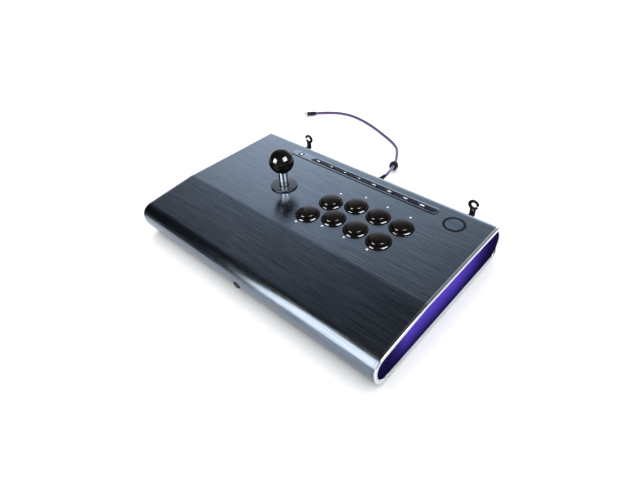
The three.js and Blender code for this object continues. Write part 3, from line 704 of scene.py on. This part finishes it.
def make_case():
    """The extruded shell, with holes for the lever, buttons, bar, base plate, jack and cord socket."""
    outer = mesh_of(stacked([inset_ring(0, -CASE_END_X), inset_ring(0, CASE_END_X)]))
    inside = stacked([inset_ring(WALL, x, CASE_BOTTOM + FLOOR) for x in (-CASE_END_X - 5, CASE_END_X + 5)])
    cut_low, cut_high = TOP - WALL - 1, TOP + 1
    holes = [bore(BUTTON_HOLE_RADIUS, x, y, cut_low, cut_high) for x, y in UPPER_ROW + LOWER_ROW]
    holes.append(bore(LEVER_HOLE_RADIUS, LEVER_X, LEVER_Y, cut_low, cut_high))
    slot = rounded_rectangle(BAR_LENGTH + 0.6, BAR_WIDTH + 0.6, BAR_CORNER + 0.3)
    holes.append(at(plate(slot, cut_low, cut_high), 0, BAR_Y, 0))
    recess = rounded_rectangle(350.6, 210.6, 10.3)
    holes.append(at(plate(recess, CASE_BOTTOM - 1, CASE_BOTTOM + 2.3), 0, -10, 0))
    opening = rounded_rectangle(328, 188, 8)
    holes.append(at(plate(opening, CASE_BOTTOM + 1, CASE_BOTTOM + FLOOR + 1), 0, -10, 0))
    jack_hole = turned([(0, -1), (JACK_HOLE_RADIUS, -1), (JACK_HOLE_RADIUS, 8), (0, 8)], 40)
    holes.append(at(along_y(jack_hole), JACK_X, NOSE_Y, JACK_Z))
    socket_hole = plate(rounded_rectangle(13.6, 7.6, 1.2, 4), -6, 1)
    holes.append(at(along_y(socket_hole), 0, REAR_Y, SOCKET_Z))
    shell = boolean(outer, [inside, merged(*holes)])
    case = finish_piece("case_body", shell, CASE_METAL, "root", ["case_shell"], 30.0)
    even_normals(case)


def make_trim(side, direction):
    """A polished frame round the end: a groove, a bevel, a flat face, and a slope down to the recess."""
    groove_start, groove_end = END_X - 1.7, END_X - 1.2
    section = [(END_X - 4, 0.0), (groove_start, 0.0), (groove_start, 0.7), (groove_end, 0.7)]
    section += [(groove_end, 0.12), (END_X - 0.62, 0.34), (END_X - 0.2, 0.75)]
    section += [(END_X, 1.35), (END_X, 3.9), (END_X - 0.25, 4.35), (END_X - 1.3, 5.3), (END_X - 1.7, 5.5)]
    section += [(END_X - 4, 5.5)]
    rings = [inset_ring(inset, x * direction) for x, inset in section]
    count = len(OUTLINE)
    points = [p for ring in rings for p in ring]
    faces = []
    for level in range(len(rings)):
        low, high = level * count, (level + 1) % len(rings) * count
        for k in range(count):
            m = (k + 1) % count
            faces.append([low + k, low + m, high + m, high + k])
    trim = build(
        f"{side}_trim", points, faces, TRIM_METAL, "root", [f"{side}_edge_trim"], "polished_metal", 40.0
    )
    trim.data.materials.append(CASE_METAL)
    for face in trim.data.polygons:
        radial = face.normal.y * face.center.y + face.normal.z * (face.center.z - TOP / 2 * MM)
        inboard = abs(face.center.x) < (groove_start - 0.05) * MM
        if inboard and radial > 0.5 * Vector(face.center[1:]).length:
            face.material_index = 1
    even_normals(trim)


def make_side_panel(side, direction):
    """The coloured end panel: a face with a soft edge, and a flange held behind the case's wall."""
    front, back, step = PANEL_FACE_X, PANEL_FACE_X - 3.5, CASE_END_X
    floor_top = CASE_BOTTOM + FLOOR + 0.3
    levels = [(back, 3.3, floor_top), (step, 3.3, floor_top), (step, 5.8, None), (front - 0.5, 5.8, None)]
    levels += [(front - 0.15, 5.95, None), (front, 6.3, None)]
    rings = [inset_ring(inset, x * direction, lowest) for x, inset, lowest in levels]
    panel = build(
        f"{side}_panel", *stacked(rings), PURPLE, "root", [f"{side}_side_panel"], "purple_panel", 30.0
    )
    even_normals(panel)


make_case()
for side, direction in (("right", 1), ("left", -1)):
    make_trim(side, direction)
    make_side_panel(side, direction)

# ---- Lever ----


def make_lever():
    """The ball with its flat foot, the chrome cover on the shaft, and the loose disc round it."""
    flat = math.degrees(math.acos(1 - 1 / BALL_RADIUS))
    ball = [(5.1, BALL_Z - 2), (5.1, BALL_Z - BALL_RADIUS + 1.3), (5.5, BALL_Z - BALL_RADIUS + 1)]
    ball += arc(0, BALL_Z, BALL_RADIUS, -90 + flat, 90, 48)
    ball[-1] = (0.0, BALL_Z + BALL_RADIUS)
    ball = [(0.0, BALL_Z - 2)] + ball
    build(
        "ball_top_gloss", *at(turned(ball, 96), LEVER_X, LEVER_Y, 0), GLOSS, "lever",
        ["ball_top"], "gloss_black",
    )
    low, high = TOP - 9, BALL_Z - BALL_RADIUS + 0.7
    cover = [(5.1, low), (6.2, low), (COVER_RADIUS, low + 0.3), (COVER_RADIUS, high - 0.4), (6.1, high)]
    cover += [(5.1, high), (5.1, low)]
    build(
        "shaft_cover_chrome", *at(turned(cover, 96), LEVER_X, LEVER_Y, 0), CHROME, "lever",
        ["shaft_cover"], "chrome",
    )
    hole, base, face = 7.1, TOP + 0.15, TOP + 2.0
    washer = [(hole, base), (WASHER_RADIUS - 0.3, base), (WASHER_RADIUS, base + 0.3)]
    washer += arc(WASHER_RADIUS - 0.6, face - 0.6, 0.6, 0, 90, 6)
    washer += [(hole + 0.5, face), (hole, face - 0.5), (hole, base)]
    build(
        "dust_washer_disc", *at(turned(washer, 96), LEVER_X, LEVER_Y, 0), WASHER, "dust_washer",
        ["dust_washer"], "washer_grey",
    )


make_lever()

# ---- Buttons ----


def button_rim():
    """The flanged barrel with a rounded rim, and the switch block under it."""
    profile = [(0.0, -BARREL_DEPTH), (BARREL_RADIUS - 0.3, -BARREL_DEPTH)]
    profile += [(BARREL_RADIUS, -BARREL_DEPTH + 0.3), (BARREL_RADIUS, 0.15), (16.35, 0.15), (16.6, 0.4)]
    profile += arc(12.65, -1.09, 4.2, 20, 56, 10)
    profile += [(14.6, 2.5), (13.75, 2.5)] + arc(13.5, 2.1, 0.4, 90, 180, 4) + [(13.1, -12.0), (0.0, -12.0)]
    block = plate(rounded_rectangle(12, 20, 0.6, 2), -31, -21.9)
    return merged(turned(profile, 80), block)


def button_cap():
    """The pressed part: a skirt, a rounded edge and a gently crowned top."""
    profile = [(0.0, -6.0), (CAP_RADIUS - 0.3, -6.0), (CAP_RADIUS, -5.7), (CAP_RADIUS, 3.4)]
    profile += arc(CAP_RADIUS - 2.75, 3.2, 2.75, 0, 64, 10)
    edge_r, edge_z = profile[-1]
    centre_z = CAP_TOP - CROWN_RADIUS
    for k in range(1, 9):
        radius = edge_r * (1 - k / 8)
        crown = centre_z + math.sqrt(CROWN_RADIUS ** 2 - radius ** 2)
        share = min(1.0, k / 3)
        profile.append((radius, edge_z + (crown - edge_z) * math.sin(share * math.pi / 2)))
    return turned(profile, 80)


def make_buttons():
    rim, cap = button_rim(), button_cap()
    for number, (x, y) in enumerate(UPPER_ROW + LOWER_ROW, 1):
        build(
            f"button_rim_{number}", *at(rim, x, y, TOP), GLOSS, "root", [f"button_housing_{number}"],
            "gloss_black",
        )
        build(
            f"button_plunger_{number}", *at(cap, x, y, TOP), CAP, f"button_{number}",
            [f"button_cap_{number}"], "gloss_black", 50.0,
        )


make_buttons()

# ---- Function bar ----


def make_bar_plate(holes):
    """The chamfered inlay, and a thin black strip of painted shadow that shows as a dark line at its front
    edge.
    """
    outline = rounded_rectangle(BAR_LENGTH, BAR_WIDTH, BAR_CORNER)
    inner = rounded_rectangle(BAR_LENGTH - 2.6, BAR_WIDTH - 2.6, BAR_CORNER - 1.3)
    levels = [(outline, TOP - 3), (outline, TOP + 0.04), (inner, TOP + 0.5)]
    slab = mesh_of(at(stacked([[(x, y, z) for x, y in ring] for ring, z in levels]), 0, BAR_Y, 0))
    bar = finish_piece(
        "bar_inlay", boolean(slab, [merged(*holes)]), BAR_METAL, "root",
        ["function_bar"], 40.0,
    )
    even_normals(bar)
    # painted shadow: a black strip set 0.9 mm forward under the bar, standing in for the shade in the gap at
    # its front edge
    shadow_line_strip = mesh_of(at(plate(outline, TOP - 0.5, TOP + 0.06), 0, BAR_Y - 0.9, 0))
    inside = at(plate(rounded_rectangle(BAR_LENGTH - 2, BAR_WIDTH - 2, 5), TOP - 1, TOP + 1), 0, BAR_Y, 0)
    finish_piece("bar_shadow_line", boolean(shadow_line_strip, [inside]), INK, "root", (), 40.0)


def make_key_band(key_holes):
    """The dark strip with slanted ends that the keys sit in."""
    start, end = KEY_XS[0] - KEY_LENGTH / 2 - 4, BAR_LENGTH / 2 - 3
    outline = rounded_rectangle(end - start, KEY_WIDTH + 2.6, 3.6)
    strip = plate([(x + y * 0.5, y) for x, y in outline], TOP + 0.44, TOP + 0.56, 0.04)
    band = boolean(mesh_of(at(strip, (start + end) / 2, BAR_Y, 0)), [merged(*key_holes)])
    finish_piece("key_band", band, KEY_GLOSS, "root", (), 40.0)


def make_keys():
    """The eight small keys, and the round home key with its pale centre."""
    key = plate(rounded_rectangle(KEY_LENGTH, KEY_WIDTH, KEY_CORNER), KEY_BOTTOM, TOP + 0.75, 0.3)
    for number, x in enumerate(KEY_XS, 1):
        build(
            f"function_key_cap_{number}", *at(key, x, BAR_Y, 0), KEY_GLOSS, f"function_key_{number}",
            [f"function_key_{number}"], "gloss_black",
        )
    edge = HOME_KEY_RADIUS
    home = [(0.0, KEY_BOTTOM), (edge, KEY_BOTTOM), (edge, TOP + 0.3)]
    home += arc(edge - 0.4, TOP + 0.2, 0.4, 0, 90, 4)[1:]
    home += [(3.6, TOP + 0.6), (3.5, TOP + 0.45), (0.0, TOP + 0.45)]
    build(
        "home_key_ring", *at(turned(home, 48), HOME_KEY_X, BAR_Y, 0), KEY_GLOSS, "home_key", ["home_key"],
        "gloss_black",
    )
    light = [(0.0, TOP + 0.4), (2.5, TOP + 0.4), (2.5, TOP + 0.55), (2.3, TOP + 0.6), (0.0, TOP + 0.6)]
    centre = at(turned(light, 32), HOME_KEY_X, BAR_Y, 0)
    build("home_key_light", *centre, MARK, "home_key", (), "pale_plastic")


def make_bar():
    """The function bar with all that is in it."""
    gap_outline = rounded_rectangle(KEY_LENGTH + KEY_GAP, KEY_WIDTH + KEY_GAP, KEY_CORNER)
    key_hole = plate(gap_outline, TOP - 4, TOP + 1)
    key_holes = [at(key_hole, x, BAR_Y, 0) for x in KEY_XS]
    make_bar_plate(key_holes + [bore(HOME_KEY_RADIUS + KEY_GAP / 2, HOME_KEY_X, BAR_Y, TOP - 4, TOP + 1)])
    make_key_band(key_holes)
    make_keys()


def mark_dot(x, y):
    """A pale dot that stands 0.14 mm proud of the top."""
    radius, height = 1.6, 0.14
    dot = [(0.0, 0.02), (radius, 0.02), (radius, height * 0.6), (radius - 0.15, height), (0.0, height)]
    return at(turned(dot, 24), x, y, TOP)


def make_marks():
    """Plain raised marks: a dot beside each button, a short bar on each key, and a ring inlay."""
    dots = [mark_dot(x - 2.4, y + 24.0) for x, y in UPPER_ROW]
    dots += [mark_dot(x - 2.0, y - 20.5) for x, y in LOWER_ROW]
    for number, dot in enumerate(dots, 1):
        build(f"button_mark_{number}", *dot, MARK, "root", (), "pale_plastic")
    lengths = [5.0, 3.0, 2.6, 2.6, 5.0, 6.0, 6.0, 7.0]
    for number, (x, length) in enumerate(zip(KEY_XS, lengths), 1):
        outline = rounded_rectangle(length, 2.2, 1.0, 5)
        glyph = at(plate(outline, TOP + 0.65, TOP + 0.87, 0.08), x, BAR_Y, 0)
        build(f"key_mark_{number}", *glyph, MARK, f"function_key_{number}", (), "pale_plastic")
    ring = [(11.4, 0.02), (14.8, 0.02), (14.8, 0.12), (14.6, 0.2), (11.6, 0.2), (11.4, 0.12), (11.4, 0.02)]
    build("inlay_ring", *at(turned(ring, 96), INLAY_X, INLAY_Y, TOP), INK, "root", (), "gloss_black")


make_bar()
make_marks()

# ---- Headset jack and rear hooks ----


def at_jack(profile):
    """A profile turned about the jack's axis, its heights measured into the case from the jack's face."""
    return at(along_y(turned(profile, 48)), JACK_X, JACK_FACE_Y, JACK_Z)


def make_jack():
    """The headset jack: barrel, dark ring, bright sleeve, and a collar that lies on the sloping nose."""
    barrel = [(0.0, 14.0), (4.3, 14.0), (4.3, 0.4), (4.0, 0.0), (2.6, 0.0), (2.4, 0.3), (2.3, 0.5)]
    barrel += [(1.85, 0.6), (1.85, 12.0), (0.0, 12.0)]
    build("jack_barrel", *at_jack(barrel), SATIN, "root", ["headset_jack"], "satin_black")
    ring = [(2.2, 0.55), (2.2, -0.15), (2.4, -0.35), (3.7, -0.35), (4.0, -0.1), (4.0, 0.05), (2.6, 0.05)]
    ring += [(2.4, 0.55), (2.2, 0.55)]
    build("jack_ring", *at_jack(ring), INK, "root", (), "satin_black")
    collar = [(4.45, 0.5), (4.45, -0.7), (4.7, -1.0), (5.2, -1.0), (5.6, -0.6), (5.6, 0.5), (4.45, 0.5)]
    tilt = Matrix.Rotation(math.radians(NOSE_TILT_AT_JACK), 4, "X")
    tilted = moved(along_y(turned(collar, 48)), tilt)
    build("jack_collar", *at(tilted, JACK_X, NOSE_Y + 1.8, JACK_Z), SATIN, "root", (), "satin_black")
    sleeve = [(1.5, 0.4), (1.6, 0.25), (1.8, 0.25), (1.84, 0.4), (1.84, 7.0), (1.5, 7.0), (1.5, 0.4)]
    build("jack_sleeve", *at_jack(sleeve), CHROME, "root", (), "chrome")


def rounded_box(low, high, edge):
    """A box in mm with its upright edges rounded and its top and bottom edges eased."""
    length, width = high[0] - low[0], high[1] - low[1]
    ease = edge * 0.4
    rings = []
    for z, inset in ((low[2], ease), (low[2] + ease, 0), (high[2] - ease, 0), (high[2], ease)):
        outline = rounded_rectangle(length - 2 * inset, width - 2 * inset, edge, 4)
        rings.append([(x, y, z) for x, y in outline])
    return at(stacked(rings), (low[0] + high[0]) / 2, (low[1] + high[1]) / 2, 0)


def open_eye():
    """The upright open eye of a hook: a rounded section swept round, thicker on its closed side."""
    half_depth, steps = HOOK_THICKNESS / 2, 40
    start, end = 6.0, 324.0
    section = rounded_rectangle(2, 2 * half_depth, 0.95, 4)
    rings = []
    for k in range(-2, steps + 3):
        over = max(0, -k, k - steps)
        shrink = (1.0, 0.75, 0.35)[over]
        turn = math.radians(start + (end - start) * min(max(k, 0), steps) / steps)
        half_width = 1.8 + 0.5 * max(0.0, -math.cos(turn))
        middle = HOOK_EYE + half_width
        lead = (0, 0.7, 1.2)[over] * (-1 if k < 0 else 1)
        along = Vector((-math.sin(turn), 0, math.cos(turn))) * lead
        out = Vector((math.cos(turn), 0, math.sin(turn)))
        rings.append([
            tuple(out * (middle + a * half_width * shrink) + Vector((0, b * shrink, 0)) + along)
            for a, b in section
        ])
    return at(stacked(rings), HOOK_X, -NOSE_Y - half_depth, HOOK_Z)


def make_hook(side, direction):
    """An arm out of the back, an upright stem with a small hole, and the open eye on top of it."""
    back, arm_top, half = -NOSE_Y, HOOK_Z - HOOK_DROP, HOOK_ARM / 2
    front = back - HOOK_THICKNESS
    bottom = arm_top - HOOK_THICKNESS
    arm = rounded_box((HOOK_X - half, REAR_Y - 8, bottom), (HOOK_X + half, back, arm_top), 1.2)
    foot = rounded_box((HOOK_X - 8, REAR_Y - 8, arm_top - 12), (HOOK_X + 8, REAR_Y + 3, arm_top + 4), 1.6)
    stem_top = HOOK_Z - HOOK_EYE - 0.6
    stem = rounded_box((HOOK_X - half - 0.4, front, bottom), (HOOK_X + half, back, stem_top), 1.2)
    hole_z = (arm_top + HOOK_Z - HOOK_EYE) / 2
    hole = [(0.0, 0.0), (1.9, 0.0), (1.9, 8.0), (0.0, 8.0)]
    body = boolean(mesh_of(open_eye()), [arm, foot, stem], "UNION")
    clear = stacked([inset_ring(-0.3, 100), inset_ring(-0.3, 190)])
    body = boolean(body, [clear, at(along_y(turned(hole, 32)), HOOK_X + 0.6, front - 2, hole_z)])
    if direction < 0:
        body.transform(Matrix.Scale(-1, 4, (1, 0, 0)))
    hook = finish_piece(
        f"hook_{side}", body, SATIN, "root", [f"rear_hook_{side}"], 35.0
    )
    even_normals(hook)


make_jack()
for side, direction in (("right", 1), ("left", -1)):
    make_hook(side, direction)

# ---- Pieces kept from the CAD model ----

KEPT = [
    (STEEL, ["base_plate", "lever_shaft", "return_spring", "retaining_clip", "mounting_plate"]),
    (STEEL, [f"base_screw_{k}" for k in range(1, 5)]),
    (RUBBER, ["base_pad"]),
    (CIRCUIT, ["function_board", "main_board", "switch_board"]),
    (WHITE_PLASTIC, ["actuator", "pivot_ball"]),
    (SATIN, ["lever_housing", "restrictor_gate", "lower_dust_washer", "cord_socket"]),
]
EASED_EDGE = 0.15


def dress_kept_nodes():
    """Gives each kept node a material and slightly rounded edges."""
    for material, names in KEPT:
        for name in names:
            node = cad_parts[name]
            node.data.materials.clear()
            node.data.materials.append(material)
            bevel = node.modifiers.new("eased_edges", "BEVEL")
            bevel.width = EASED_EDGE * MM
            bevel.segments = 2
            bevel.limit_method = "ANGLE"
            bevel.angle_limit = math.radians(50)


dress_kept_nodes()

# ---- Floor, backdrop and lights ----

LIGHT_DISTANCE = 1.5


def flat_sheet(name, corners, z, material):
    """A four-cornered sheet, in metres, at one height."""
    mesh = bpy.data.meshes.new(name)
    mesh.from_pydata([(x, y, z) for x, y in corners], [], [(0, 1, 2, 3)])
    mesh.materials.append(material)
    sheet = bpy.data.objects.new(name, mesh)
    bpy.context.scene.collection.objects.link(sheet)
    return sheet


def make_floor():
    """A plain pale floor that reaches past every view."""
    finish = Finish("pale_floor")
    finish.colour(finish.ramp(finish.noise(1.5), [(0.3, (0.80, 0.80, 0.80)), (0.7, (0.82, 0.82, 0.82))]))
    finish.roughness(finish.spread(finish.noise(3.0), 0.7, 0.8))
    reach = 9.0
    corners = [(-reach, -reach), (reach, -reach), (reach, reach), (-reach, reach)]
    floor = flat_sheet("floor", corners, 0.0, finish.material)
    floor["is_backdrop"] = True


def make_flag():
    """A black card on the floor at the front left, seen only in reflections, as in product photography."""
    finish = Finish("flag_black")
    blacks = [(0.3, (0.010, 0.010, 0.012)), (0.7, (0.014, 0.014, 0.016))]
    finish.colour(finish.ramp(finish.noise(3.0), blacks))
    finish.roughness(finish.spread(finish.noise(5.0), 0.8, 0.9))
    corners = [(-0.030, -0.225), (-1.36, -1.66), (-2.2, -1.0), (-2.2, -0.225)]
    flag = flat_sheet("flag", corners, 0.0006, finish.material)
    flag.visible_camera = False
    flag.visible_diffuse = False
    flag.visible_shadow = False
    flag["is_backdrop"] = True


def softbox(name, direction, size, radiance, lit, tint=(1, 1, 1)):
    """A rectangular light aimed at the panel from a direction, with the radiance of its face. It shows only
    in reflections, and only in those of the pieces in one collection."""
    data = bpy.data.lights.new(name, "AREA")
    data.shape = "RECTANGLE"
    data.size, data.size_y = size
    data.energy = radiance * math.pi * size[0] * size[1]
    data.color = tint
    light = bpy.data.objects.new(name, data)
    way = Vector(direction).normalized()
    light.location = Vector((0, 0, 0.05)) + way * LIGHT_DISTANCE
    light.rotation_euler = way.to_track_quat("Z", "Y").to_euler()
    light.visible_camera = False
    light.visible_diffuse = False
    bpy.context.scene.collection.objects.link(light)
    light.light_linking.receiver_collection = lit


def pieces_with(name, *materials):
    """A collection of the visual pieces that have one of these materials."""
    group = bpy.data.collections.new(name)
    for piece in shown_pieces():
        if any(m in materials for m in piece.data.materials):
            group.objects.link(piece)
    return group


def make_softboxes():
    """Strong lights for the glossy black pieces, and softer ones for all the others."""
    polished = pieces_with("polished_pieces", GLOSS, CAP, KEY_GLOSS)
    glossy = pieces_with("glossy_pieces", GLOSS)
    caps = pieces_with("cap_pieces", CAP)
    plain = bpy.data.collections.new("plain_pieces")
    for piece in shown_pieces():
        if piece.name not in polished.objects:
            plain.objects.link(piece)
    softbox("softbox_front", (-0.32, -0.87, 0.375), (0.85, 0.85), 85.0, polished)
    softbox("softbox_right", (0.77, 0.04, 0.635), (1.05, 0.95), 85.0, glossy)
    softbox("softbox_above", (0.49, 0.06, 0.87), (0.6, 0.65), 75.0, caps)
    softbox("softbox_front_wide", (-0.202, -0.884, 0.423), (1.15, 1.8), 6.0, plain, (1.0, 0.95, 0.88))
    softbox("softbox_right_soft", (0.77, 0.04, 0.635), (0.95, 0.85), 4.0, plain)


def make_overhead():
    """A very large, even diffuser above, which lights every surface softly but isn't seen in reflections."""
    data = bpy.data.lights.new("overhead", "SUN")
    data.energy = 4.9
    data.angle = math.radians(110)
    light = bpy.data.objects.new("overhead", data)
    light.visible_glossy = False
    bpy.context.scene.collection.objects.link(light)


# Each soft glow in the surroundings: direction, sharpness, radiance.
GLOWS = [
    ((-0.66, 0.66, 0.34), 16.0, 2.2),
    ((-0.23, 0.95, 0.16), 22.0, 3.2),
    ((0.70, 0.65, 0.25), 10.0, 0.9),
    ((0.60, -0.72, 0.35), 9.0, 0.7),
]
DIM = 0.02


def make_world():
    """Dim surroundings with soft glows, and a white backdrop where the camera sees past the floor."""
    world = bpy.data.worlds.new("studio")
    bpy.context.scene.world = world
    world.use_nodes = True
    nodes, links = world.node_tree.nodes, world.node_tree.links
    nodes.clear()
    way = nodes.new("ShaderNodeTexCoord").outputs["Generated"]

    def number(operation, a, b=0.0):
        node = nodes.new("ShaderNodeMath")
        node.operation = operation
        for socket, value in zip(node.inputs, (a, b)):
            if isinstance(value, (int, float)):
                socket.default_value = value
            else:
                links.new(value, socket)
        return node.outputs["Value"]

    total = DIM
    for direction, sharpness, radiance in GLOWS:
        dot = nodes.new("ShaderNodeVectorMath")
        dot.operation = "DOT_PRODUCT"
        dot.inputs[1].default_value = Vector(direction).normalized()
        links.new(way, dot.inputs[0])
        fall = number("MULTIPLY", number("SUBTRACT", dot.outputs["Value"], 1.0), sharpness)
        glow = number("MULTIPLY", number("EXPONENT", fall), radiance)
        total = number("ADD", glow, total)
    surroundings = nodes.new("ShaderNodeBackground")
    surroundings.inputs["Color"].default_value = (0.90, 0.96, 1.03, 1.0)
    links.new(total, surroundings.inputs["Strength"])
    backdrop = nodes.new("ShaderNodeBackground")
    backdrop.inputs["Color"].default_value = (1.0, 1.0, 1.0, 1.0)
    mix = nodes.new("ShaderNodeMixShader")
    links.new(nodes.new("ShaderNodeLightPath").outputs["Is Camera Ray"], mix.inputs["Fac"])
    links.new(surroundings.outputs["Background"], mix.inputs[1])
    links.new(backdrop.outputs["Background"], mix.inputs[2])
    output = nodes.new("ShaderNodeOutputWorld")
    links.new(mix.outputs["Shader"], output.inputs["Surface"])


make_floor()
make_flag()
make_world()
make_softboxes()
make_overhead()
bpy.context.scene.view_settings.view_transform = "Standard"
